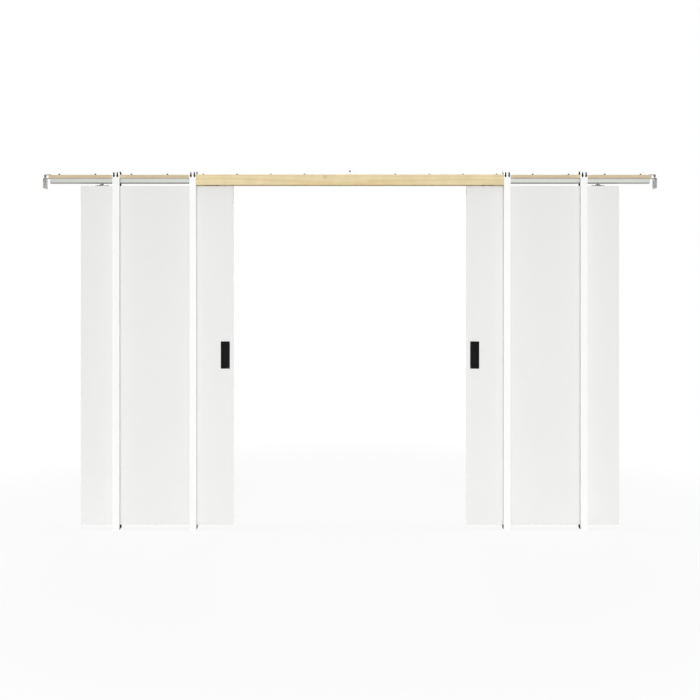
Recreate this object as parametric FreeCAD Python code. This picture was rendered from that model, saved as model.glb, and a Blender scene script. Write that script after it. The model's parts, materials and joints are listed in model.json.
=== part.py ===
import FreeCAD, Part
import os
from FreeCAD import Vector

# A double pocket door frame with both of its doors, in millimetres.
# X runs along the wall, Y from the front to the rear, Z up from the floor.
# Pieces are drawn about the middle of the opening, and written with the origin
# under the left jamb studs.

# Doors
door_width = 914.0
door_height = 2032.0
door_thick = 35.0
door_ease = 1.5              # rounding of the slab's edges
door_floor_gap = 31.0        # floor to the door's lower edge
rest_stand_out = 219.0       # door showing past its jamb studs as stored
open_stand_out = 20.5        # door showing when it is fully in its pocket
meeting_gap = 5.0            # between the two doors when both are closed

# Opening and studs
opening_width = 1840.0       # between the left and right jamb studs
stud_spacing = 460.0         # jamb stud to outer stud, centre to centre
stud_width = 40.0
stud_depth = 20.0
stud_wall = 1.5
stud_bend = 3.0              # outside radius of the folded corners
pocket_gap = 49.0            # between front and rear studs
stud_slot_width = 8.5
stud_slot_length = 30.0
stud_slot_spacing = 21.0
stud_slot_drop = 8.0         # stud top to slot top

# Header, nailers and track
header_thick = 20.0
header_end_gap = 25.0        # header end to the end bracket's plate
nailer_height = 63.0
board_ease = 2.0             # rounding of the planed boards' long edges
track_width = 36.0
track_height = 32.0
track_wall = 2.5
track_lip = 5.5              # thickness of the lips that the wheels roll on
track_slot = 12.0
track_chamfer = 6.0          # along the two lower outside edges
track_setback = 8.0          # track end back from the header end
stop_length = 20.0
stop_height = 20.0
stop_ease = 2.0

# Stud caps and floor shoes
cap_rise = 21.0              # stud top above the header
cap_end_drop = 20.0          # cap's end flanges below the header's top
saddle_sheet = 2.0
saddle_bend = 1.5            # inside radius of the folds
shoe_wall_height = 24.0
shoe_hole_radius = 2.75
shoe_hole_spacing = 28.0

# End brackets
end_clearance = 18.5         # open door's edge to the bracket's plate
bracket_sheet = 2.5
bracket_drop = 59.0          # plate's lower edge below its shoulder
bracket_tongue_width = 45.0
bracket_top_reach = 8.0      # top tab's overlap on the header
bracket_shelf_reach = 7.0    # lower tab's overlap under the header
bracket_hole_radius = 3.0
bracket_hole_spacing = 56.0
bracket_hole_rise = 20.0     # holes above the plate's lower edge
bracket_corner = 5.0         # rounding of the plate's corners
bracket_bend = 2.0           # inside radius of the top fold

# Header joiner and its bolt
joiner_length = 92.0
joiner_width = 40.0
joiner_height = 16.0
joiner_sheet = 2.0
joiner_bend = 1.5            # inside radius of the folds
joiner_bolt_radius = 4.75
joiner_bolt_height = 26.0    # above the joiner's base
joiner_head_across = 16.0
joiner_head_height = 7.0

# Door hangers and trolleys
hanger_room = 14.0           # door top to the track's underside
hanger_inset = 125.0         # hanger's middle from each door edge
strap_length = 80.0
strap_width = 25.0
strap_sheet = 2.5
strap_hump_height = 9.0
strap_hump_top = 20.0
strap_hump_foot = 36.0
strap_corner = 5.0
hanger_bolt_radius = 4.0
hanger_head_across = 13.0
hanger_head_height = 5.3
bolt_clearance = 0.2         # bolt in the strap's hole
thread_clearance = 0.05      # bolt in the trolley's thread
trolley_length = 64.0
trolley_width = 11.0
trolley_height = 15.0
trolley_corner = 4.0         # rounding of the body's upright edges
trolley_lift = 1.0           # trolley body over the track's lips
wheel_radius = 9.0
wheel_width = 7.0
wheel_rolling_gap = 0.3      # tread over the track's lips
wheel_side_gap = 1.0         # wheel to the track's side wall
wheel_bore_gap = 0.05
axle_radius = 2.5
axle_spacing = 40.0
stop_clearance = 5.0         # trolley to its rubber stop at the end of travel

# Flush pulls
pull_width = 54.0
pull_height = 164.0
pull_edge_inset = 20.0       # from the door's leading edge
pull_centre_height = 1017.0  # above the door's lower edge
pull_rim_thick = 2.0
pull_rim_border = 10.5
pull_recess_depth = 12.0     # cup floor below the door's face
pull_wall = 1.6
pull_corner = 2.5
mortise_clearance = 0.3

# Levels
door_bottom = door_floor_gap
door_top = door_bottom + door_height
track_bottom = door_top + hanger_room
track_top = track_bottom + track_height
header_top = track_top + header_thick
stud_top = header_top + cap_rise
lip_top = track_bottom + track_lip

# Places across and along the wall
half_gap = pocket_gap / 2
front_y = -(half_gap + stud_depth)
half_opening = opening_width / 2
jamb_x = half_opening + stud_width / 2
outer_x = jamb_x + stud_spacing
plate_x = half_opening - open_stand_out + door_width + end_clearance
header_end = plate_x - header_end_gap
track_end = header_end - track_setback
door_lead = half_opening - rest_stand_out
door_trail = door_lead + door_width
hanger_places = (door_lead + hanger_inset, door_trail - hanger_inset)


def block(x, y, z):
    """A block between a low and a high value on each axis."""
    return Part.makeBox(x[1] - x[0], y[1] - y[0], z[1] - z[0], Vector(x[0], y[0], z[0]))


def centred(middle, size):
    """The low and high values of a size laid evenly about a middle."""
    return (middle - size / 2, middle + size / 2)


def rod(start, along, radius, length):
    """A round bar from a point, along a direction."""
    return Part.makeCylinder(radius, length, Vector(*start), Vector(*along))


def hexagon(x, y, z, across, height):
    """An upright hexagonal prism, its width across flats along Y."""
    corner = across / 3 ** 0.5
    points = [Vector(x + corner, y, z)]
    turn = FreeCAD.Rotation(Vector(0, 0, 1), 60)
    arm = Vector(corner, 0, 0)
    for _ in range(6):
        arm = turn.multVec(arm)
        points.append(Vector(x, y, z) + arm)
    return Part.Face(Part.makePolygon(points)).extrude(Vector(0, 0, height))


def profile(points, along):
    """A closed outline carried straight along a direction."""
    corners = [Vector(*p) for p in points]
    return Part.Face(Part.makePolygon(corners + corners[:1])).extrude(Vector(*along))


def rounded(shape, radius, *directions, keep=lambda middle: True):
    """Fillets the straight edges that run along a direction and that keep accepts."""
    edges = []
    for edge in shape.Edges:
        ends = [v.Point for v in edge.Vertexes]
        if len(ends) == 2:
            line = ends[1] - ends[0]
            along = any(line.cross(Vector(*d)).Length < 1e-6 for d in directions)
            if along and keep((ends[0] + ends[1]) / 2):
                edges.append(edge)
    return shape.makeFillet(radius, edges)


def folded(outer, hollow, sheet, bend, *directions, keep):
    """A bent sheet: an outer block less a hollow, with both sides of its folds rounded alike."""
    outer = rounded(outer, bend + sheet, *directions, keep=keep)
    return outer.cut(rounded(hollow, bend, *directions, keep=keep))


def left_of(shape):
    """The mirror image on the other side of the opening's middle."""
    return shape.mirror(Vector(0, 0, 0), Vector(1, 0, 0))


def rear_of(shape):
    """The mirror image on the rear of the wall."""
    return shape.mirror(Vector(0, 0, 0), Vector(0, 1, 0))


def write(node, *solids):
    """Writes a node's solids, moved so that the origin is under the left jamb studs."""
    whole = solids[0] if len(solids) == 1 else Part.makeCompound(list(solids))
    placed = whole.copy()
    placed.translate(Vector(jamb_x, 0, 0))
    placed.exportStep(os.path.join("parts", node + ".step"))


def write_pair(name, *right_solids):
    """Writes a right-hand node and its left-hand mirror image."""
    write("right_" + name, *right_solids)
    write("left_" + name, *[left_of(s) for s in right_solids])


def upright_slot(x, y, z):
    """A hole through a stud's web, straight-sided with round ends."""
    half = stud_slot_width / 2
    straight = (z[0] + half, z[1] - half)
    ends = [rod((x, y[0], level), (0, 1, 0), half, y[1] - y[0]) for level in straight]
    return block(centred(x, stud_slot_width), y, straight).fuse(ends)


def front_stud(x):
    """A folded channel, open to the pocket, with two upright slots near its top."""
    sides = centred(x, stud_width)
    outer = block(sides, (front_y, -half_gap), (0, stud_top))
    hollow = block(inset(sides, stud_wall), (front_y + stud_wall, -half_gap), (0, stud_top))
    body = folded(
        outer, hollow, stud_wall, stud_bend - stud_wall, (0, 0, 1),
        keep=lambda m: m.y < -half_gap - stud_wall)
    slot_z = (stud_top - stud_slot_drop - stud_slot_length, stud_top - stud_slot_drop)
    for slot_x in centred(x, stud_slot_spacing):
        body = body.cut(upright_slot(slot_x, (front_y, front_y + stud_wall), slot_z))
    return body


def saddle_room(x):
    """The width and the depth for a saddle that is seated inside both channels of a stud pair."""
    return centred(x, stud_width - 2 * stud_wall), (front_y + stud_bend, -front_y - stud_bend)


def stud_cap(x):
    """A folded box, open below: its sides stand on the header, its ends hang behind the stud slots."""
    width, depth = saddle_room(x)
    between_ends = inset(depth, saddle_sheet)
    low = header_top - cap_end_drop
    outer = block(width, depth, (low, stud_top))
    hollow = block(inset(width, saddle_sheet), between_ends, (low, stud_top - saddle_sheet))
    cap = folded(
        outer, hollow, saddle_sheet, saddle_bend, (1, 0, 0), (0, 1, 0), keep=lambda m: m.z > header_top)
    return cap.cut(block(width, between_ends, (low, header_top)))


def floor_shoe(x):
    """A U-shaped sheet on the floor, with two screw holes between the studs."""
    width, depth = saddle_room(x)
    outer = block(width, depth, (0, shoe_wall_height))
    hollow = block(inset(width, saddle_sheet), depth, (saddle_sheet, shoe_wall_height))
    shoe = folded(
        outer, hollow, saddle_sheet, saddle_bend, (0, 1, 0), keep=lambda m: m.z < 2 * saddle_sheet)
    for y in centred(0, shoe_hole_spacing):
        shoe = shoe.cut(rod((x, y, 0), (0, 0, 1), shoe_hole_radius, saddle_sheet))
    return shoe


def track():
    """A C-section with a slot along its underside."""
    span = (0, track_end)
    half = track_width / 2
    c = track_chamfer
    outline = [
        (0, -half, track_top), (0, half, track_top), (0, half, track_bottom + c),
        (0, half - c, track_bottom), (0, c - half, track_bottom), (0, -half, track_bottom + c),
    ]
    body = profile(outline, (track_end, 0, 0))
    inside = inset(centred(0, track_width), track_wall)
    body = body.cut(block(span, inside, (lip_top, track_top - track_wall)))
    return body.cut(block(span, centred(0, track_slot), (track_bottom, lip_top)))


def track_stops():
    """Rubber blocks on the track's lips, just past the trolleys' ends of travel."""
    open_face = plate_x - end_clearance - hanger_inset + trolley_length / 2 + stop_clearance
    shut_face = meeting_gap / 2 + hanger_inset - trolley_length / 2 - stop_clearance
    width = centred(0, track_width - 2 * track_wall)
    height = (lip_top, lip_top + stop_height)
    blocks = [
        block((open_face, open_face + stop_length), width, height),
        block((shut_face - stop_length, shut_face), width, height),
    ]
    return [rounded(b, stop_ease, (0, 0, 1)) for b in blocks]


def end_bracket():
    """A wall plate, a narrower tongue above it, and two tabs that hold the header's end."""
    t = bracket_sheet
    shoulder = track_top - t
    plate_z = (shoulder - bracket_drop, shoulder)
    sheet_x = (plate_x, plate_x + t)
    tongue_y = centred(0, bracket_tongue_width)
    plate = block(sheet_x, (front_y, -front_y), plate_z)
    tongue = block(sheet_x, tongue_y, (shoulder, header_top + t))
    top_tab = block((header_end - bracket_top_reach, plate_x), tongue_y, (header_top, header_top + t))
    shelf = block((header_end - bracket_shelf_reach, plate_x), tongue_y, (shoulder, track_top))
    plate = rounded(plate, bracket_corner, (1, 0, 0))
    body = plate.fuse([tongue, top_tab, shelf]).removeSplitter()
    body = rounded(
        body, bracket_bend + t, (0, 1, 0), keep=lambda m: m.x > plate_x and m.z > header_top)
    body = rounded(
        body, bracket_bend, (0, 1, 0),
        keep=lambda m: abs(m.x - plate_x) < t and abs(m.z - header_top) < t)
    for y in centred(0, bracket_hole_spacing):
        start = (plate_x, y, plate_z[0] + bracket_hole_rise)
        body = body.cut(rod(start, (1, 0, 0), bracket_hole_radius, t))
    return body


def header_joiner():
    """A shallow channel, flanges up, across the header's middle joint."""
    length = centred(0, joiner_length)
    outer = block(length, centred(0, joiner_width), (header_top, header_top + joiner_height))
    trough = block(
        length, centred(0, joiner_width - 2 * joiner_sheet),
        (header_top + joiner_sheet, header_top + joiner_height))
    return folded(
        outer, trough, joiner_sheet, joiner_bend, (1, 0, 0),
        keep=lambda m: m.z < header_top + 2 * joiner_sheet)


def joiner_bolt():
    """A hexagon bolt that stands head down on the joiner's base."""
    seat = header_top + joiner_sheet
    head = hexagon(0, 0, seat, joiner_head_across, joiner_head_height)
    return head.fuse(rod((0, 0, seat), (0, 0, 1), joiner_bolt_radius, joiner_bolt_height)).removeSplitter()


def pull_levels():
    """The low and high edges of the flush pull."""
    return centred(door_bottom + pull_centre_height, pull_height)


def pull_sides():
    """The near and far edges of the flush pull along the wall."""
    near = door_lead + pull_edge_inset
    return (near, near + pull_width)


def inset(span, border):
    """A span drawn in by a border at both ends."""
    return (span[0] + border, span[1] - border)


def front_pull():
    """A rim on the door's face around a cup that is let into the door."""
    face_y = -door_thick / 2
    floor_y = face_y + pull_recess_depth
    cup_border = pull_rim_border - pull_wall
    rim = block(pull_sides(), (face_y - pull_rim_thick, face_y), pull_levels())
    rim = rounded(rim, pull_corner, (0, 1, 0))
    cup = block(
        inset(pull_sides(), cup_border), (face_y, floor_y + pull_wall), inset(pull_levels(), cup_border))
    cup = rounded(cup, pull_corner + pull_wall, (0, 1, 0))
    recess = block(
        inset(pull_sides(), pull_rim_border), (face_y - pull_rim_thick, floor_y),
        inset(pull_levels(), pull_rim_border))
    return rim.fuse(cup).cut(rounded(recess, pull_corner, (0, 1, 0)))


def door_slab():
    """A flush slab with a mortise for the cup of each pull."""
    half = door_thick / 2
    slab = block((door_lead, door_trail), (-half, half), (door_bottom, door_top))
    slab = rounded(slab, door_ease, (1, 0, 0), (0, 0, 1))
    border = pull_rim_border - pull_wall - mortise_clearance
    depth = (-half, -half + pull_recess_depth + pull_wall + mortise_clearance)
    mortise = block(inset(pull_sides(), border), depth, inset(pull_levels(), border))
    mortise = rounded(mortise, pull_corner + pull_wall, (0, 1, 0))
    return slab.cut(mortise).cut(rear_of(mortise))


def hanger_strap(x):
    """A strap on the door's top edge, folded up into a hump that carries the bolt."""
    z = door_top
    t = strap_sheet
    end, foot, top = strap_length / 2, strap_hump_foot / 2, strap_hump_top / 2
    high = strap_hump_height
    outline = [(-end, 0), (t - foot, 0), (t - top, high - t), (top - t, high - t), (foot - t, 0), (end, 0),
               (end, t), (foot, t), (top, high), (-top, high), (-foot, t), (-end, t)]
    points = [(x + u, -strap_width / 2, z + v) for u, v in outline]
    strap = profile(points, (0, strap_width, 0))
    strap = rounded(strap, strap_corner, (0, 0, 1))
    return strap.cut(rod((x, 0, z), (0, 0, 1), hanger_bolt_radius + bolt_clearance, high))


def trolley_top():
    """The level of the trolley body's upper face."""
    return lip_top + trolley_lift + trolley_height


def hanger_bolt(x):
    """A hexagon bolt, head under the strap's hump, that runs up into the trolley."""
    seat = door_top + strap_hump_height - strap_sheet
    head = hexagon(x, 0, seat - hanger_head_height, hanger_head_across, hanger_head_height)
    shank = rod((x, 0, seat), (0, 0, 1), hanger_bolt_radius, trolley_top() - seat)
    return head.fuse(shank).removeSplitter()


def wheel_outer_y():
    """The wheels' outer faces, just inside the track's walls."""
    return track_width / 2 - track_wall - wheel_side_gap


def axle_places(x):
    """Each axle's place along the wall and its level."""
    level = lip_top + wheel_rolling_gap + wheel_radius
    return [(axle_x, level) for axle_x in centred(x, axle_spacing)]


def trolley(x):
    """A body in the track with its two axles, bored for the hanger bolt."""
    body = block(
        centred(x, trolley_length), centred(0, trolley_width), (lip_top + trolley_lift, trolley_top()))
    body = rounded(body, trolley_corner, (0, 0, 1))
    for axle_x, level in axle_places(x):
        start = (axle_x, -wheel_outer_y(), level)
        body = body.fuse(rod(start, (0, 1, 0), axle_radius, 2 * wheel_outer_y()))
    hole = rod((x, 0, lip_top), (0, 0, 1), hanger_bolt_radius + thread_clearance, track_height)
    return body.cut(hole).removeSplitter()


def trolley_wheels(x):
    """The four wheels that roll on the track's lips."""
    wheels = []
    for axle_x, level in axle_places(x):
        start = (axle_x, -wheel_outer_y(), level)
        tread = rod(start, (0, 1, 0), wheel_radius, wheel_width)
        wheel = tread.cut(rod(start, (0, 1, 0), axle_radius + wheel_bore_gap, wheel_width))
        wheels += [wheel, rear_of(wheel)]
    return wheels


os.makedirs("parts", exist_ok=True)

# Frame
header = block((0, header_end), (-half_gap, half_gap), (track_top, header_top))
write_pair("header_board", rounded(header, board_ease, (1, 0, 0)))
nailer = block(
    centred(0, opening_width), (front_y, -half_gap), (header_top - nailer_height, header_top))
nailer = rounded(nailer, board_ease, (1, 0, 0))
write("front_nailer", nailer)
write("rear_nailer", rear_of(nailer))
write_pair("track", track())
write_pair("track_stops", *track_stops())
write_pair("end_bracket", end_bracket())
write("header_joiner", header_joiner())
write("joiner_bolt", joiner_bolt())
for place, x in (("jamb", jamb_x), ("outer", outer_x)):
    stud = front_stud(x)
    write_pair(place + "_front_stud", stud)
    write_pair(place + "_rear_stud", rear_of(stud))
    write_pair(place + "_stud_cap", stud_cap(x))
    write_pair(place + "_floor_shoe", floor_shoe(x))

# Doors
pull = front_pull()
write_pair("door_slab", door_slab())
write_pair("door_front_pull", pull)
write_pair("door_rear_pull", rear_of(pull))
write_pair("hanger_straps", *[hanger_strap(x) for x in hanger_places])
write_pair("hanger_bolts", *[hanger_bolt(x) for x in hanger_places])
write_pair("trolleys", *[trolley(x) for x in hanger_places])
write_pair("trolley_wheels", *[w for x in hanger_places for w in trolley_wheels(x)])
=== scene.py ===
import json
import math

import bpy
import numpy as np
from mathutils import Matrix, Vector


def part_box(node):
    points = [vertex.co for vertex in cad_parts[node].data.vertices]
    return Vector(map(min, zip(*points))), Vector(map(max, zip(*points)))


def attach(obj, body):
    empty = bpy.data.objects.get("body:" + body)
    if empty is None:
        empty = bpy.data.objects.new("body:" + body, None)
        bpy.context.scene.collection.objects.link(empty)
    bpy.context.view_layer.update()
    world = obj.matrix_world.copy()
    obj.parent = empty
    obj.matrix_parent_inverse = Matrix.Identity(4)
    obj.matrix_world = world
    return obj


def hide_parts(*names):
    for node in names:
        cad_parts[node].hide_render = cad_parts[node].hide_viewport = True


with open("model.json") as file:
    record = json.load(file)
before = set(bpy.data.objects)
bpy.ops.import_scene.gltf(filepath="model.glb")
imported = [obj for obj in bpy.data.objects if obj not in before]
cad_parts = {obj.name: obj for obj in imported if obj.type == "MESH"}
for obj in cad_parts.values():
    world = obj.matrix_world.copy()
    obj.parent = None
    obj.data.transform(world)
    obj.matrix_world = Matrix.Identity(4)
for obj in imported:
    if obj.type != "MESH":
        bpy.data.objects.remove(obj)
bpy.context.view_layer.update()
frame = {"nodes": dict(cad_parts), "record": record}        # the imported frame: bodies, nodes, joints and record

# Lengths are in metres: worked out from the frame, or written in millimetres times MM
MM = 0.001
SIDES = ("left", "right")
STUD_PLACES = ("jamb", "outer")


def span(node, axis):
    """The low and high values of a node's box along x, y or z."""
    low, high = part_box(node)
    return getattr(low, axis), getattr(high, axis)


def middle(node, axis):
    """The middle of a node's box along x, y or z."""
    return sum(span(node, axis)) / 2


# Places along the wall, across it and up it
MIDDLE_X = middle("front_nailer", "x")
FRONT_Y, POCKET_FRONT_Y = span("left_jamb_front_stud", "y")
POCKET_REAR_Y, REAR_Y = span("left_jamb_rear_stud", "y")
STUDS_X = [middle(f"{side}_{place}_front_stud", "x") for side in SIDES for place in STUD_PLACES]
JAMB_REACH = abs(middle("right_jamb_front_stud", "x") - MIDDLE_X)
OUTER_REACH = abs(middle("right_outer_front_stud", "x") - MIDDLE_X)
HEADER_TOP = span("left_header_board", "z")[1]
HEADER_REACH = span("right_header_board", "x")[1] - MIDDLE_X
DOOR_FACE = span("left_door_slab", "y")[1]

# Stud section
STUD_HALF_WIDTH = STUDS_X[0] - span("left_jamb_front_stud", "x")[0]
STUD_WALL = 1.5 * MM
STUD_BEND = 3 * MM
SLOT_SPACING = 21 * MM

# Camera, fitted to the photograph's 700 pixel frame
PHOTO_PIXELS = 700
FOCAL_PIXELS = 1038
HORIZON_ROW = 268
CAMERA_DISTANCE = 6.2
CAMERA_HEIGHT = 1.57
SENSOR_MM = 36


# Colours and nodes

def linear(hex_colour):
    """An sRGB hex colour as linear red, green, blue and alpha."""
    srgb = np.array([int(hex_colour[i:i + 2], 16) for i in (1, 3, 5)]) / 255
    rgb = np.where(srgb <= 0.04045, srgb / 12.92, ((srgb + 0.055) / 1.055) ** 2.4)
    return (*rgb.tolist(), 1.0)


def per(*sizes_mm):
    """Pattern scales, in features a metre, from the features' sizes in millimetres."""
    scales = tuple(1 / (size * MM) for size in sizes_mm)
    return scales[0] if len(scales) == 1 else scales


def add_node(tree, kind, inputs=None, **settings):
    """Adds a node, sets its properties, and links or sets each named or numbered input."""
    made = tree.nodes.new(kind)
    for name, value in settings.items():
        setattr(made, name, value)
    for key, value in (inputs or {}).items():
        if isinstance(value, bpy.types.NodeSocket):
            tree.links.new(value, made.inputs[key])
        else:
            made.inputs[key].default_value = value
    return made


def new_material(name):
    """A material with only its output node, and the socket of its object coordinates."""
    material = bpy.data.materials.new(name)
    material.use_nodes = True
    tree = material.node_tree
    tree.nodes.clear()
    output = add_node(tree, "ShaderNodeOutputMaterial")
    place = add_node(tree, "ShaderNodeTexCoord").outputs["Object"]
    return material, tree, output, place


def set_stops(ramp, *stops):
    """Gives a colour ramp its stops: a position and a hex colour each."""
    elements = ramp.color_ramp.elements
    while len(elements) < len(stops):
        elements.new(1.0)
    for element, (position, colour) in zip(elements, stops):
        element.position = position
        element.color = linear(colour)


def spread(tree, noise, low, high):
    """A noise pattern, which mostly lies from 0.3 to 0.7, spread over the range from low to high."""
    return add_node(tree, "ShaderNodeMapRange", {
        "Value": noise, "From Min": 0.3, "From Max": 0.7, "To Min": low, "To Max": high}).outputs[0]


def add_shader(tree, output, inputs):
    """Adds a material's shader and links it to the output."""
    shader = add_node(tree, "ShaderNodeBsdfPrincipled", inputs)
    tree.links.new(shader.outputs[0], output.inputs[0])


# Wood

def planed_pine(name, early, late, start, pith_y, pith_z):
    """Planed pine, unfinished: solid growth rings about a pith that lies outside the board.

    The eye sees pale straw earlywood, thin tan latewood lines that run with the board and arch on
    its cut ends, faint cross patches and a few soft knots, on a dull surface.
    """
    material, tree, output, place = new_material(name)
    # Rings 6 mm apart, wider than real ones so that they show; they wander over a metre of length.
    # A wave texture of scale 1 has 20 over tau rings a metre
    ring_scale = per(6) * math.tau / 20
    drawn_out = 0.06
    run = add_node(tree, "ShaderNodeMapping", {
        "Vector": place, "Location": (start, -pith_y, -pith_z), "Scale": (drawn_out, 1, 1)})
    rings = add_node(tree, "ShaderNodeTexWave", {
        "Vector": run.outputs[0], "Scale": ring_scale, "Distortion": 9.0,
        "Detail": 2.0, "Detail Scale": 0.22, "Detail Roughness": 0.5},
        wave_type="RINGS", rings_direction="X", wave_profile="SAW")
    wood = add_node(tree, "ShaderNodeValToRGB", {"Fac": rings.outputs["Fac"]})
    set_stops(wood, (0.0, early), (0.5, early), (0.86, late), (1.0, early))
    # Fibres 2 mm wide and 90 mm long, and tone that drifts along the board over 70 mm
    fibre_run = add_node(tree, "ShaderNodeMapping", {"Vector": place, "Scale": per(90, 2, 2)})
    fibres = add_node(tree, "ShaderNodeTexNoise", {
        "Vector": fibre_run.outputs[0], "Scale": 1.0, "Detail": 3.0})
    tone_run = add_node(tree, "ShaderNodeMapping", {
        "Vector": place, "Location": (7 * start, 0, 0), "Scale": per(70, 400, 90)})
    tone = add_node(tree, "ShaderNodeTexNoise", {
        "Vector": tone_run.outputs[0], "Scale": 1.0, "Detail": 1.0})
    shade = spread(tree, tone.outputs[0], 0.94, 1.03)
    grain = spread(tree, fibres.outputs[0], 0.96, 1.02)
    level = add_node(tree, "ShaderNodeMath", {0: shade, 1: grain}, operation="MULTIPLY")
    toned = add_node(tree, "ShaderNodeVectorMath", {
        0: wood.outputs[0], "Scale": level.outputs[0]}, operation="SCALE")
    # Knots about 16 mm across, one to a cell of 260 by 70 by 70 mm
    knot_size = 16 * MM
    cell = (260 * MM, 70 * MM, 70 * MM)
    cells = add_node(tree, "ShaderNodeMapping", {
        "Vector": place, "Location": (start, 0, 0), "Scale": tuple(1 / side for side in cell)})
    nearest = add_node(tree, "ShaderNodeTexVoronoi", {"Vector": cells.outputs[0], "Scale": 1.0})
    away = add_node(tree, "ShaderNodeVectorMath", {
        0: cells.outputs[0], 1: nearest.outputs["Position"]}, operation="SUBTRACT")
    away = add_node(tree, "ShaderNodeVectorMath", {0: away.outputs[0], 1: cell}, operation="MULTIPLY")
    away = add_node(tree, "ShaderNodeVectorMath", {0: away.outputs[0]}, operation="LENGTH")
    out = add_node(tree, "ShaderNodeMapRange", {"Value": away.outputs["Value"], "From Max": knot_size})
    knot = add_node(tree, "ShaderNodeValToRGB", {"Fac": out.outputs[0]})
    set_stops(knot, (0.0, "#B98C55"), (0.42, "#B08049"), (0.5, "#94683A"), (0.6, "#CFAE74"))
    clear = add_node(tree, "ShaderNodeMapRange", {
        "Value": out.outputs[0], "From Min": 0.45, "From Max": 1.0, "To Min": 0.25, "To Max": 0.0},
        interpolation_type="SMOOTHSTEP")
    colour = add_node(tree, "ShaderNodeMix", {
        "Factor": clear.outputs[0], "A": toned.outputs[0], "B": knot.outputs[0]}, data_type="VECTOR")
    gloss = add_node(tree, "ShaderNodeMapRange", {
        "Value": rings.outputs["Fac"], "To Min": 0.68, "To Max": 0.52})
    bump = add_node(tree, "ShaderNodeBump", {
        "Height": fibres.outputs[0], "Strength": 0.25, "Distance": 0.4 * MM})
    add_shader(tree, output, {
        "Base Color": colour.outputs["Result"], "Roughness": gloss.outputs[0],
        "Specular IOR Level": 0.3, "Normal": bump.outputs[0]})
    return material


# Metal

def coil_coated_steel():
    """Coil-coated steel sheet, folded: white on the outside, and inside a dark grey that is partly a grey backing
    coat and partly painted shade for the stud's hollow.

    The eye sees a smooth, faintly orange-peeled white face, a dark hollow, and bright zinc along
    cut edges. A point's depth in the sheet is its distance from the fold's core: the length of
    what its offsets along and across the wall, from the middle of its stud, have beyond the core.
    """
    material, tree, output, place = new_material("coil_coated_steel_white")
    axes = add_node(tree, "ShaderNodeSeparateXYZ", {0: place})
    along = axes.outputs["X"]
    for centre in (MIDDLE_X, (OUTER_REACH + JAMB_REACH) / 2, (OUTER_REACH - JAMB_REACH) / 2):
        shifted = add_node(tree, "ShaderNodeMath", {0: along, 1: centre}, operation="SUBTRACT")
        along = add_node(tree, "ShaderNodeMath", {0: shifted.outputs[0]}, operation="ABSOLUTE").outputs[0]
    across = add_node(tree, "ShaderNodeMath", {0: axes.outputs["Y"]}, operation="ABSOLUTE")
    offset = add_node(tree, "ShaderNodeCombineXYZ", {0: along, 1: across.outputs[0]})
    core = (STUD_HALF_WIDTH - STUD_BEND, REAR_Y - STUD_BEND, 0)
    beyond = add_node(tree, "ShaderNodeVectorMath", {
        0: offset.outputs[0], 1: core}, operation="SUBTRACT")
    beyond = add_node(tree, "ShaderNodeVectorMath", {
        0: beyond.outputs[0], 1: (0, 0, 0)}, operation="MAXIMUM")
    beyond = add_node(tree, "ShaderNodeVectorMath", {0: beyond.outputs[0]}, operation="LENGTH")
    sheet = add_node(tree, "ShaderNodeMapRange", {
        "Value": beyond.outputs["Value"], "From Min": STUD_BEND - STUD_WALL, "From Max": STUD_BEND})
    coats_and_hollow_shade = add_node(tree, "ShaderNodeValToRGB", {"Fac": sheet.outputs[0]})
    coats_and_hollow_shade.color_ramp.interpolation = "CONSTANT"
    # The inner stop's dark grey is the backing coat's own tone, darkened further as painted shade for the hollow
    # inside the stud; then zinc at cut edges, then the white face
    set_stops(coats_and_hollow_shade, (0.0, "#3A3B3D"), (0.08, "#A7A9A8"), (0.92, "#FDFDFC"))
    # Orange peel 4 mm wide, coarser than the real 2 mm so that it shows; tone drifts over 120 mm
    drift = add_node(tree, "ShaderNodeTexNoise", {"Vector": place, "Scale": per(120), "Detail": 2.0})
    tone = spread(tree, drift.outputs[0], 0.98, 1.0)
    colour = add_node(tree, "ShaderNodeVectorMath", {0: coats_and_hollow_shade.outputs[0], "Scale": tone}, operation="SCALE")
    gloss = spread(tree, drift.outputs[0], 0.36, 0.46)
    peel = add_node(tree, "ShaderNodeTexNoise", {"Vector": place, "Scale": per(4), "Detail": 2.0})
    bump = add_node(tree, "ShaderNodeBump", {
        "Height": peel.outputs[0], "Strength": 0.08, "Distance": 0.3 * MM})
    add_shader(tree, output, {
        "Base Color": colour.outputs[0], "Roughness": gloss, "Normal": bump.outputs[0]})
    return material


def extruded_aluminium():
    """Extruded aluminium, satin anodised.

    The eye sees a pale cool grey with a soft sheen, drawn out in fine lines along the extrusion
    where the die scored it.
    """
    material, tree, output, place = new_material("extruded_aluminium_satin")
    # Die lines 1.5 mm apart, coarser than the real 0.3 mm so that they show, and 2 m long
    run = add_node(tree, "ShaderNodeMapping", {"Vector": place, "Scale": per(2000, 1.5, 1.5)})
    lines = add_node(tree, "ShaderNodeTexNoise", {"Vector": run.outputs[0], "Scale": 1.0, "Detail": 3.0})
    tint = add_node(tree, "ShaderNodeValToRGB", {"Fac": lines.outputs[0]})
    set_stops(tint, (0.35, "#ACADA9"), (0.65, "#B8B9B4"))
    gloss = spread(tree, lines.outputs[0], 0.6, 0.5)
    bump = add_node(tree, "ShaderNodeBump", {
        "Height": lines.outputs[0], "Strength": 0.1, "Distance": 0.2 * MM})
    add_shader(tree, output, {
        "Base Color": tint.outputs[0], "Metallic": 0.7, "Roughness": gloss, "Normal": bump.outputs[0]})
    return material


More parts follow.
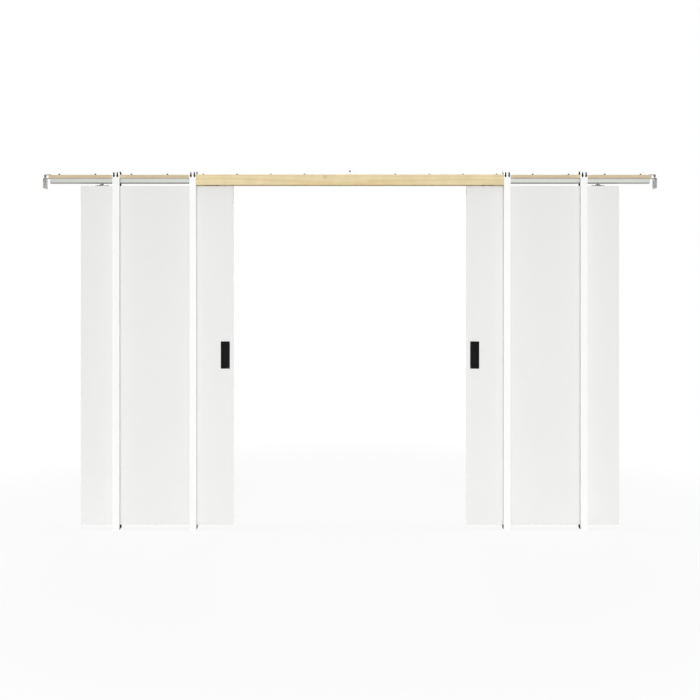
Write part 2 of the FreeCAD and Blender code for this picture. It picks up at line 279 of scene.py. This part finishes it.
def galvanised_steel():
    """Hot-dip galvanised steel sheet, pressed.

    The eye sees a mid grey metal whose frozen zinc flakes differ a little in tone and gloss.
    """
    material, tree, output, place = new_material("galvanised_steel_pressed")
    # Flakes 7 mm across
    flakes = add_node(tree, "ShaderNodeTexVoronoi", {"Vector": place, "Scale": per(7)})
    flake = add_node(tree, "ShaderNodeSeparateXYZ", {0: flakes.outputs["Color"]})
    tint = add_node(tree, "ShaderNodeValToRGB", {"Fac": flake.outputs["X"]})
    set_stops(tint, (0.1, "#939591"), (0.9, "#9B9C97"))
    gloss = add_node(tree, "ShaderNodeMapRange", {
        "Value": flake.outputs["Y"], "To Min": 0.48, "To Max": 0.54})
    frost = add_node(tree, "ShaderNodeTexNoise", {"Vector": place, "Scale": per(1.5), "Detail": 2.0})
    bump = add_node(tree, "ShaderNodeBump", {
        "Height": frost.outputs[0], "Strength": 0.03, "Distance": 0.2 * MM})
    add_shader(tree, output, {
        "Base Color": tint.outputs[0], "Metallic": 0.85, "Roughness": gloss.outputs[0],
        "Normal": bump.outputs[0]})
    return material


# Coats and mouldings

def mottled(name, dull, bright, patch_mm, grain_mm, relief_mm, roughness, metallic=0.0, specular=0.5):
    """A surface whose tone and gloss drift together in patches, over a finer raised grain."""
    material, tree, output, place = new_material(name)
    patches = add_node(tree, "ShaderNodeTexNoise", {
        "Vector": place, "Scale": per(patch_mm), "Detail": 3.0})
    tint = add_node(tree, "ShaderNodeValToRGB", {"Fac": patches.outputs[0]})
    set_stops(tint, (0.35, dull), (0.65, bright))
    gloss = spread(tree, patches.outputs[0], *roughness)
    grain = add_node(tree, "ShaderNodeTexNoise", {
        "Vector": place, "Scale": per(grain_mm), "Detail": 2.0})
    bump = add_node(tree, "ShaderNodeBump", {
        "Height": grain.outputs[0], "Strength": 0.3, "Distance": relief_mm * MM})
    add_shader(tree, output, {
        "Base Color": tint.outputs[0], "Metallic": metallic, "Roughness": gloss,
        "Specular IOR Level": specular, "Normal": bump.outputs[0]})
    return material


MATERIALS = {
    "track_aluminium": extruded_aluminium(),
    "bracket_steel": galvanised_steel(),
    "stud_steel": coil_coated_steel(),
    # White primer on board, rolled: a soft matt white with a fine stipple, drawn 3 mm wide to show
    "door_paint": mottled(
        "rolled_primer_on_board", "#EFEFEE", "#F1F1F0",
        patch_mm=240, grain_mm=3, relief_mm=0.15, roughness=(0.5, 0.6)),
    # Folded steel, phosphated black: a dry, sooty charcoal that hardly shines
    "saddle_steel": mottled(
        "black_phosphated_steel", "#18191A", "#222324",
        patch_mm=30, grain_mm=2, relief_mm=0.2, roughness=(0.8, 0.95), specular=0.05),
    # Steel, black-zinc plated: near black, with smoky patches and a dim shine
    "hanger_steel": mottled(
        "black_zinc_plated_steel", "#1F2022", "#2C2D2E",
        patch_mm=9, grain_mm=1, relief_mm=0.1, roughness=(0.38, 0.52), metallic=0.8),
    # Nylon, moulded: milky white with a faint spark-eroded grain
    "wheel_nylon": mottled(
        "moulded_nylon", "#DEDCD3", "#E8E7E0",
        patch_mm=12, grain_mm=0.8, relief_mm=0.1, roughness=(0.42, 0.52)),
    # Rubber, moulded: charcoal and dull, with a light bloom
    "stop_rubber": mottled(
        "moulded_rubber", "#202022", "#2E2E2F",
        patch_mm=14, grain_mm=1, relief_mm=0.2, roughness=(0.68, 0.8)),
    # Zinc casting, powder coated: matt black with a fine leathery grain
    "pull_black": mottled(
        "powder_coated_zinc_casting", "#0F0F10", "#161617",
        patch_mm=25, grain_mm=1.6, relief_mm=0.3, roughness=(0.5, 0.62), specular=0.08),
}
# Each board has its own rings: where its pattern starts, and its pith across and up the wall
HEADER_PINE = ("#DFCEAB", "#D3BC92")
NAILER_PINE = ("#F2E0B3", "#E9D29D")
BOARDS = {
    "left_header_board": planed_pine(
        "planed_pine_left_header", *HEADER_PINE, start=0.3, pith_y=0.05, pith_z=2.05),
    "right_header_board": planed_pine(
        "planed_pine_right_header", *HEADER_PINE, start=1.9, pith_y=-0.04, pith_z=2.06),
    "front_nailer": planed_pine(
        "planed_pine_front_nailer", *NAILER_PINE, start=3.1, pith_y=0.06, pith_z=2.08),
    "rear_nailer": planed_pine(
        "planed_pine_rear_nailer", *NAILER_PINE, start=4.7, pith_y=-0.05, pith_z=2.12),
}
# Each CAD node takes the material of its slot, and each board its own pine
for row in frame["record"]["subparts"]:
    dressed = frame["nodes"][row["node"]]
    dressed.data.materials.clear()
    dressed.data.materials.append(BOARDS.get(row["node"]) or MATERIALS[row["material_slot"]])


# Meshes from loops of points

AROUND = 48
ANGLES = np.linspace(0, math.tau, AROUND, endpoint=False)
# Edges that turn by more than this stay sharp
SHARP_TURN = math.radians(32)
# Two cross directions and the axis that they make, by where the axis points
DIRECTIONS = {
    "up": np.array([(1, 0, 0), (0, 1, 0), (0, 0, 1)]),
    "down": np.array([(1, 0, 0), (0, -1, 0), (0, 0, -1)]),
    "to_front": np.array([(1, 0, 0), (0, 0, 1), (0, -1, 0)]),
    "to_rear": np.array([(-1, 0, 0), (0, 0, 1), (0, 1, 0)]),
    "to_right": np.array([(0, 1, 0), (0, 0, 1), (1, 0, 0)]),
    "to_left": np.array([(0, -1, 0), (0, 0, 1), (-1, 0, 0)]),
}


def turned(pointing, *stretches):
    """Loops about an axis: a point lies at its angle and radius from the axis, at its height along it.

    A stretch is a pair of radius and height: one ring, or a grid with a row for each ring.
    """
    grids = [
        np.broadcast_arrays(*np.atleast_2d(radius, height, ANGLES))[:2]
        for radius, height in stretches]
    radius = np.concatenate([grid[0] for grid in grids])
    height = np.concatenate([grid[1] for grid in grids])
    local = np.stack([radius * np.cos(ANGLES), radius * np.sin(ANGLES), height], axis=-1)
    return local @ DIRECTIONS[pointing]


def repeated(loops, places):
    """Copies of a stack of loops, one moved to each place."""
    return loops[None] + np.array(places)[:, None, None, :]


def faces_of(stacks, ring):
    """Faces of stacks of loops: quads between neighbouring loops, and a face over each end.

    In a ring the last loop joins the first instead, and there are no ends.
    """
    copies, rows, around = stacks.shape[:3]
    v, u = np.meshgrid(np.arange(rows if ring else rows - 1), np.arange(around), indexing="ij")
    v_next, u_next = (v + 1) % rows, (u + 1) % around
    corners = [v * around + u, v * around + u_next, v_next * around + u_next, v_next * around + u]
    quads = np.stack(corners, axis=-1).reshape(-1, 4)
    starts = (np.arange(copies) * rows * around)[:, None, None]
    faces = [(quads + starts).reshape(-1, 4)]
    if not ring:
        ends = np.stack([np.arange(around)[::-1], (rows - 1) * around + np.arange(around)])
        faces.append((ends + starts).reshape(-1, around))
    return faces


def make_piece(name, body, slot, *groups, replaced=(), ring=False):
    """One mesh at the origin from groups of stacks, smooth but for its sharp edges, riding on a body."""
    faces = []
    start = 0
    for stacks in groups:
        for kind in faces_of(stacks, ring):
            faces += (kind + start).tolist()
        start += stacks[..., 0].size
    points = np.concatenate([stacks.reshape(-1, 3) for stacks in groups])
    mesh = bpy.data.meshes.new(name)
    mesh.from_pydata(points.tolist(), [], faces)
    mesh.shade_smooth()
    mesh.set_sharp_from_angle(angle=SHARP_TURN)
    mesh.materials.append(MATERIALS[slot])
    piece = bpy.data.objects.new(name, mesh)
    bpy.context.scene.collection.objects.link(piece)
    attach(piece, body)
    if replaced:
        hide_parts(*replaced)


# Track

TRACK_WALL = 2.5 * MM


def rounded_outline(corners, radii):
    """A closed outline with an arc at each corner, tangent to the two sides that meet there.

    The arc's middle lies on the corner's bisector, at the radius over the sine of half the corner's
    angle. Its points turn evenly from one side's normal to the other's.
    """
    corners, radii = np.array(corners, dtype=float), np.array(radii)[:, None]
    before = np.roll(corners, 1, axis=0) - corners
    after = np.roll(corners, -1, axis=0) - corners
    before /= np.linalg.norm(before, axis=1, keepdims=True)
    after /= np.linalg.norm(after, axis=1, keepdims=True)
    angle = np.arccos(np.sum(before * after, axis=1, keepdims=True))
    bisector = (before + after) / np.linalg.norm(before + after, axis=1, keepdims=True)
    centres = corners + bisector * radii / np.sin(angle / 2)
    start = corners + before * radii / np.tan(angle / 2) - centres
    end = corners + after * radii / np.tan(angle / 2) - centres
    turn = (math.pi - angle)[..., None]
    arc_points = 6
    share = np.linspace(0, 1, arc_points)[None, :, None]
    arc = np.sin((1 - share) * turn) * start[:, None] + np.sin(share * turn) * end[:, None]
    return (centres[:, None] + arc / np.sin(turn)).reshape(-1, 2)


def track_section(half, height):
    """The track's outline across its length: a box open below, with thick lips and soft corners.

    The upper corners are round where they meet the header, and the lower ones are cut off.
    """
    lip = 5.5 * MM
    slot = 6 * MM
    cut = 6 * MM
    inside = half - TRACK_WALL
    ceiling = height - TRACK_WALL
    # Corners and the radii of their arcs
    right = [
        ((slot, 0), 0.8 * MM), ((half - cut, 0), 1.2 * MM),
        ((half, cut), 1.2 * MM), ((half, height), 2.2 * MM)]
    left = [((-across, up), radius) for (across, up), radius in right[::-1]]
    hollow = [
        ((-slot, lip), 0.8 * MM), ((-inside, lip), 0.8 * MM), ((-inside, ceiling), 1.5 * MM),
        ((inside, ceiling), 1.5 * MM), ((inside, lip), 0.8 * MM), ((slot, lip), 0.8 * MM)]
    corners, radii = zip(*right, *left, *hollow)
    return rounded_outline(corners, radii)


for side in SIDES:
    low_x, high_x = span(f"{side}_track", "x")
    low_z, high_z = span(f"{side}_track", "z")
    track_half = span(f"{side}_track", "y")[1]
    section = track_section(track_half, high_z - low_z)
    ends = np.zeros((2, len(section), 3))
    ends[..., :2] = section
    ends[..., 2] = np.array([0, high_x - low_x])[:, None]
    make_piece(
        f"{side}_extruded_track", "frame", "track_aluminium",
        repeated(ends @ DIRECTIONS["to_right"], [(low_x, 0, low_z)]), replaced=[f"{side}_track"])


# Fasteners

def screw_head(radius, rise, recess):
    """A low domed head with a crossed recess, from its seat to its crown.

    Height falls from the crown as the square of the radius. Near two crossed lines it drops
    further, by the recess's depth, which fades at the arms' sides and ends.
    """
    # Shares of the radius: the rings, and where the recess's arms have faded out at sides and ends
    share = np.array([0.97, 0.9, 0.8, 0.7, 0.62, 0.55, 0.46, 0.36, 0.26, 0.16, 0.05])[:, None]
    arm_side, side_fade = 0.17, 0.06
    arm_end, end_fade = 0.62, 0.14
    nearer_line = np.minimum(np.abs(np.cos(ANGLES)), np.abs(np.sin(ANGLES)))
    side = np.clip((arm_side - share * nearer_line) / side_fade, 0, 1)
    end = np.clip((arm_end - share) / end_fade, 0, 1)
    dome = rise * (1 - 0.5 * share ** 2) - recess * side * end
    rim = 0.42 * rise
    return [(radius, 0), (radius, rim), (share * radius, dome)]


def hexagon_block(across, low, high, soft):
    """A hexagon head or nut, with its corners cut back to a circle at both ends.

    A hexagon's radius is half its width across flats over the cosine of the angle to its nearest flat.
    """
    flat = across / 2 / np.cos(np.mod(ANGLES, math.pi / 3) - math.pi / 6)
    return [(across / 2, low), (flat, low + soft), (flat, high - soft), (across / 2, high)]


def thread(radius, depth, pitch, low, high):
    """A screw thread: radius is a triangle wave of height over pitch less the angle's share of a turn."""
    rings_a_turn = 6
    height = np.linspace(low, high, int(rings_a_turn * (high - low) / pitch) + 2)[:, None]
    wave = np.abs(2 * np.mod(height / pitch - ANGLES / math.tau, 1) - 1)
    return [(radius - depth * wave, height)]


def hexagon_bolt(across, head, radius, pitch, length):
    """A bolt that stands on its hexagon head, threaded up to a bevelled end."""
    depth = 0.55 * pitch
    bevel = depth
    soft = 0.08 * across
    return [*hexagon_block(across, 0, head, soft),
            *thread(radius, depth, pitch, head, length - bevel), (radius - depth - bevel, length)]


def slot_screw():
    """A screw with a thin flat head, through a stud's slot and the cap's end flange behind it."""
    shank = 2.2 * MM
    reach = 9 * MM
    head = screw_head(radius=6 * MM, rise=0.4 * MM, recess=0.9 * MM)
    return [(shank, -reach), (shank, 0), *head]


def header_nut():
    """A washer, a nut and the end of the bolt that holds the track, from the header up."""
    washer = 6.5 * MM
    sheet = 1.2 * MM
    nut_top = sheet + 5 * MM
    end = nut_top + 2.8 * MM
    bevel = 0.5 * MM
    bolt = 3 * MM
    nut = hexagon_block(across=10 * MM, low=sheet, high=nut_top, soft=0.7 * MM)
    shank = thread(radius=bolt, depth=0.5 * MM, pitch=1 * MM, low=nut_top, high=end - bevel)
    return [(washer, 0), (washer, sheet), *nut, *shank, (bolt - 2 * bevel, end)]


def rivet_head(radius, rise):
    """A domed rivet head: its height is a quarter of an ellipse of the radius, over a thin edge."""
    share = np.linspace(1, 0.05, 7)[:, None]
    return [(radius, 0), (radius * share, rise * np.sqrt(1.02 - share ** 2))]


SLOT_SCREW_DROP = 7 * MM
slots_x = [x + shift for x in STUDS_X for shift in (-SLOT_SPACING / 2, SLOT_SPACING / 2)]
slot_screw_level = HEADER_TOP - SLOT_SCREW_DROP
make_piece(
    "stud_slot_screws", "frame", "saddle_steel",
    repeated(turned("to_front", *slot_screw()), [(x, FRONT_Y, slot_screw_level) for x in slots_x]),
    repeated(turned("to_rear", *slot_screw()), [(x, REAR_Y, slot_screw_level) for x in slots_x]))

# Bolts that hold the track: distances from the opening's middle
TRACK_BOLT_REACHES = np.array([273, 476, 679, 882, 1098.5, 1315, 1531.5, 1748]) * MM
track_bolts_x = MIDDLE_X + np.concatenate([-TRACK_BOLT_REACHES, TRACK_BOLT_REACHES])
track_ceiling = span("left_track", "z")[1] - TRACK_WALL
track_bolt_head = screw_head(radius=6 * MM, rise=1.6 * MM, recess=0.8 * MM)
make_piece(
    "header_track_bolts", "frame", "hanger_steel",
    repeated(turned("up", *header_nut()), [(x, 0, HEADER_TOP) for x in track_bolts_x]),
    repeated(turned("down", *track_bolt_head), [(x, 0, track_ceiling) for x in track_bolts_x]))

# Screws in the end brackets' tabs: distances from the header's end and from its middle line
TAB_SCREW_INSET = 4 * MM
TAB_SCREW_REACH = 13 * MM
tab_top = span("left_end_bracket", "z")[1]
tab_screw = screw_head(radius=3.4 * MM, rise=2.4 * MM, recess=1 * MM)
tab_screws_x = [MIDDLE_X + side * (HEADER_REACH - TAB_SCREW_INSET) for side in (-1, 1)]
make_piece(
    "bracket_tab_screws", "frame", "saddle_steel",
    repeated(turned("up", *tab_screw),
             [(x, y, tab_top) for x in tab_screws_x for y in (-TAB_SCREW_REACH, TAB_SCREW_REACH)]))

# Screws and bolt in the header joiner: distances from the opening's middle
JOINER_SCREW_REACHES = np.array([-36, -20, 20, 36]) * MM
joiner_floor, joiner_bolt_top = span("joiner_bolt", "z")
joiner_screw = screw_head(radius=4.5 * MM, rise=2.4 * MM, recess=1.2 * MM)
make_piece(
    "joiner_screws", "frame", "hanger_steel",
    repeated(turned("up", *joiner_screw),
             [(MIDDLE_X + reach, 0, joiner_floor) for reach in JOINER_SCREW_REACHES]))
joiner_bolt = hexagon_bolt(
    across=16 * MM, head=7 * MM, radius=4.75 * MM, pitch=1.5 * MM, length=joiner_bolt_top - joiner_floor)
make_piece(
    "joiner_bolt_threaded", "frame", "hanger_steel",
    repeated(turned("up", *joiner_bolt), [(MIDDLE_X, 0, joiner_floor)]),
    replaced=["joiner_bolt"])

# Rivets at the stud feet, on both sides of each stud
SHOE_RIVET_LEVEL = 13 * MM
rivet = rivet_head(radius=3.5 * MM, rise=1.4 * MM)
flange_ys = [(FRONT_Y + POCKET_FRONT_Y) / 2, (POCKET_REAR_Y + REAR_Y) / 2]
make_piece(
    "shoe_rivets", "frame", "bracket_steel",
    repeated(turned("to_left", *rivet),
             [(x - STUD_HALF_WIDTH, y, SHOE_RIVET_LEVEL) for x in STUDS_X for y in flange_ys]),
    repeated(turned("to_right", *rivet),
             [(x + STUD_HALF_WIDTH, y, SHOE_RIVET_LEVEL) for x in STUDS_X for y in flange_ys]))


# Door hangers and pulls

# An inset is from a door's ends, and a reach is from the middle of a strap, a trolley or a pull
HANGER_INSET = 125 * MM
STRAP_SHEET = 2.5 * MM
STRAP_SCREW_REACH = 29 * MM
AXLE_REACH = 20 * MM
WHEEL_WIDTH = 7 * MM
PULL_DEPTH = 12 * MM
PULL_SCREW_REACH = 52 * MM


def wheel(pointing):
    """A moulded wheel on its bore: tread, rim, a shallow web and a hub, turned about its axle."""
    # Radius and height, from the tread's inner edge round by the outer web and the bore
    profile = np.array([
        (8.6, 0), (9, 0.4), (9, 6.6), (8.6, 7), (7.4, 7), (7, 6.3), (4.7, 6.3), (4.3, 7),
        (2.55, 7), (2.55, 0), (4.3, 0), (4.7, 0.7), (7, 0.7), (7.4, 0)]) * MM
    return turned(pointing, (profile[:, :1], profile[:, 1:]))


def rounded_loops(pointing, half_width, half_height, corner, level):
    """Loops of rounded rectangles, one for each level: quarter circles about four corner centres."""
    corner_points = 9
    quarter = np.linspace(0, math.pi / 2, corner_points)
    angle = np.concatenate([quarter + turn * math.pi / 2 for turn in range(4)])
    sign_u = np.repeat([1, -1, -1, 1], quarter.size)
    sign_w = np.repeat([1, 1, -1, -1], quarter.size)
    half_width, half_height, corner, level = [
        np.broadcast_to(a, np.shape(level))[:, None] for a in (half_width, half_height, corner, level)]
    u = sign_u * (half_width - corner) + corner * np.cos(angle)
    w = sign_w * (half_height - corner) + corner * np.sin(angle)
    return np.stack([u, w, np.broadcast_to(level, u.shape)], axis=-1) @ DIRECTIONS[pointing]


def flush_pull(pointing, half_width, half_height):
    """A cast cup and rim: rounded rectangles set in from the rim's edge, from the cup's back to its floor.

    Set-in and level run along straight walls joined by quarter circles at the rim's two edges and
    at the foot of the recess.
    """
    rim = 2 * MM
    border = 10.5 * MM
    wall = 1.6 * MM
    edge = 0.9 * MM
    foot = 2 * MM
    outer_corner = 2.5 * MM
    inner_corner = 4.1 * MM
    arc_points = 5
    turn = np.linspace(0, math.pi / 2, arc_points)
    set_in = np.concatenate([
        [border - wall, border - wall, 0], edge * (1 - np.cos(turn)),
        border - edge + edge * np.sin(turn), border + foot * (1 - np.cos(turn))])
    level = np.concatenate([
        [-PULL_DEPTH - wall, 0, 0], rim - edge + edge * np.sin(turn),
        rim - edge + edge * np.cos(turn), -PULL_DEPTH + foot * (1 - np.sin(turn))])
    corner = np.clip(outer_corner + 0.3 * set_in, outer_corner, inner_corner)
    return rounded_loops(pointing, half_width - set_in, half_height - set_in, corner, level)


strap_screw = screw_head(radius=4.8 * MM, rise=2.4 * MM, recess=1.2 * MM)
pull_screw = screw_head(radius=3.6 * MM, rise=1.4 * MM, recess=0.8 * MM)
for side in SIDES:
    door = f"{side}_door"
    slab_x = span(f"{side}_door_slab", "x")
    door_top = span(f"{side}_door_slab", "z")[1]
    hangers_x = (slab_x[0] + HANGER_INSET, slab_x[1] - HANGER_INSET)

    strap_screws_x = [x + reach for x in hangers_x for reach in (-STRAP_SCREW_REACH, STRAP_SCREW_REACH)]
    make_piece(
        f"{side}_strap_screws", door, "hanger_steel",
        repeated(turned("up", *strap_screw), [(x, 0, door_top + STRAP_SHEET) for x in strap_screws_x]))

    bolt_low, bolt_high = span(f"{side}_hanger_bolts", "z")
    hanger_bolt = hexagon_bolt(
        across=13 * MM, head=5.3 * MM, radius=4 * MM, pitch=1.25 * MM, length=bolt_high - bolt_low)
    make_piece(
        f"{side}_threaded_hanger_bolts", door, "bracket_steel",
        repeated(turned("up", *hanger_bolt), [(x, 0, bolt_low) for x in hangers_x]),
        replaced=[f"{side}_hanger_bolts"])

    wheel_y = span(f"{side}_trolley_wheels", "y")[1] - WHEEL_WIDTH
    axle_z = middle(f"{side}_trolley_wheels", "z")
    axles_x = [x + reach for x in hangers_x for reach in (-AXLE_REACH, AXLE_REACH)]
    make_piece(
        f"{side}_turned_wheels", door, "wheel_nylon",
        repeated(wheel("to_front"), [(x, -wheel_y, axle_z) for x in axles_x]),
        repeated(wheel("to_rear"), [(x, wheel_y, axle_z) for x in axles_x]),
        replaced=[f"{side}_trolley_wheels"], ring=True)

    for face, pointing, face_y in (("front", "to_front", -DOOR_FACE), ("rear", "to_rear", DOOR_FACE)):
        node = f"{side}_door_{face}_pull"
        pull_x, pull_z = middle(node, "x"), middle(node, "z")
        half_width, half_height = [(high - low) / 2 for low, high in (span(node, "x"), span(node, "z"))]
        floor_y = face_y * (1 - PULL_DEPTH / DOOR_FACE)
        make_piece(
            f"{side}_{face}_cast_pull", door, "pull_black",
            repeated(flush_pull(pointing, half_width, half_height), [(pull_x, face_y, pull_z)]),
            repeated(turned(pointing, *pull_screw),
                     [(pull_x, floor_y, pull_z + rise) for rise in (-PULL_SCREW_REACH, PULL_SCREW_REACH)]),
            replaced=[node])


# Stage and camera

# The surround's strength where it only lights the object; where it is seen it is 1
LIGHTING_STRENGTH = 0.6
# The floor, by distance from the opening's middle: its paint darkens, and its white share grows to 1
FLOOR_REACH = 30
PAINT_NEAR = 2.0
PAINT_FAR = 6.0
WHITE_NEAR = 1.6
WHITE_FAR = 3.4
WHITE_SHARE = 0.86
# How wide each lamp looks from the object
SOFTBOX_WIDTH = math.radians(16)


def seen_directly(tree):
    """1 for a ray from the camera, a reflection or a clear surface, and 0 for one that only lights."""
    path = add_node(tree, "ShaderNodeLightPath")
    seen = path.outputs["Is Camera Ray"]
    for kind in ("Is Glossy Ray", "Is Transmission Ray"):
        either = add_node(tree, "ShaderNodeMath", {0: seen, 1: path.outputs[kind]}, operation="MAXIMUM")
        seen = either.outputs[0]
    return seen


def surround():
    """A white surround for the camera and for reflections, that lights the object less strongly."""
    world = bpy.data.worlds.new("studio")
    bpy.context.scene.world = world
    world.use_nodes = True
    tree = world.node_tree
    tree.nodes.clear()
    strength = add_node(tree, "ShaderNodeMapRange", {
        "Value": seen_directly(tree), "To Min": LIGHTING_STRENGTH, "To Max": 1.0})
    sky = add_node(tree, "ShaderNodeBackground", {
        "Color": (1, 1, 1, 1), "Strength": strength.outputs[0]})
    add_node(tree, "ShaderNodeOutputWorld", {"Surface": sky.outputs[0]})


def pale_floor():
    """A wide pale floor that keeps the object's shadow and turns to the surround's white further off.

    Its paint is palest under the object, which lights the doors a little from below.
    """
    signs = ((-1, -1), (1, -1), (1, 1), (-1, 1))
    corners = [(MIDDLE_X + x * FLOOR_REACH, y * FLOOR_REACH, 0) for x, y in signs]
    mesh = bpy.data.meshes.new("floor")
    mesh.from_pydata(corners, [], [(0, 1, 2, 3)])
    floor = bpy.data.objects.new("floor", mesh)
    bpy.context.scene.collection.objects.link(floor)
    material, tree, output, place = new_material("painted_floor")
    away = add_node(tree, "ShaderNodeVectorMath", {0: place, 1: (MIDDLE_X, 0, 0)}, operation="DISTANCE")
    beyond = add_node(tree, "ShaderNodeMapRange", {
        "Value": away.outputs["Value"], "From Min": PAINT_NEAR, "From Max": PAINT_FAR})
    tint = add_node(tree, "ShaderNodeValToRGB", {"Fac": beyond.outputs[0]})
    set_stops(tint, (0.0, "#E4E4E4"), (1.0, "#6A6A6A"))
    paint = add_node(tree, "ShaderNodeBsdfDiffuse", {"Color": tint.outputs[0]})
    white = add_node(tree, "ShaderNodeEmission", {"Color": (1, 1, 1, 1), "Strength": 1.0})
    fade = add_node(tree, "ShaderNodeMapRange", {
        "Value": away.outputs["Value"], "From Min": WHITE_NEAR, "From Max": WHITE_FAR,
        "To Min": WHITE_SHARE, "To Max": 1.0}, interpolation_type="SMOOTHSTEP")
    share = add_node(tree, "ShaderNodeMath", {
        0: seen_directly(tree), 1: fade.outputs[0]}, operation="MULTIPLY")
    mix = add_node(tree, "ShaderNodeMixShader", {
        0: share.outputs[0], 1: paint.outputs[0], 2: white.outputs[0]})
    tree.links.new(mix.outputs[0], output.inputs[0])
    mesh.materials.append(material)


def far_softbox(name, strength, tilt, turn):
    """A broad lamp, far off and a little above, that lights the whole height of one face alike.

    It is tilted up from straight down by an angle in degrees, and turned about the upright.
    """
    lamp = bpy.data.lights.new(name, "SUN")
    lamp.energy = strength
    lamp.angle = SOFTBOX_WIDTH
    stand = bpy.data.objects.new(name, lamp)
    bpy.context.scene.collection.objects.link(stand)
    stand.rotation_euler = (math.radians(tilt), 0, turn)


def aim_camera():
    """A level camera in front of the opening's middle, shifted down as the photograph is framed."""
    data = bpy.data.cameras.new("camera")
    data.sensor_width = SENSOR_MM
    data.lens = SENSOR_MM * FOCAL_PIXELS / PHOTO_PIXELS
    data.shift_y = (HORIZON_ROW - PHOTO_PIXELS / 2) / PHOTO_PIXELS
    camera = bpy.data.objects.new("camera", data)
    bpy.context.scene.collection.objects.link(camera)
    camera.location = (MIDDLE_X, FRONT_Y - CAMERA_DISTANCE, CAMERA_HEIGHT)
    camera.rotation_euler = (math.radians(90), 0, 0)
    bpy.context.scene.camera = camera


surround()
pale_floor()
far_softbox("front_softbox", strength=1.2, tilt=85, turn=0)
far_softbox("rear_softbox", strength=1.0, tilt=80, turn=math.pi)
far_softbox("left_softbox", strength=1.2, tilt=75, turn=-math.pi / 2)
far_softbox("right_softbox", strength=1.2, tilt=75, turn=math.pi / 2)
aim_camera()
bpy.context.scene.view_settings.view_transform = "Standard"
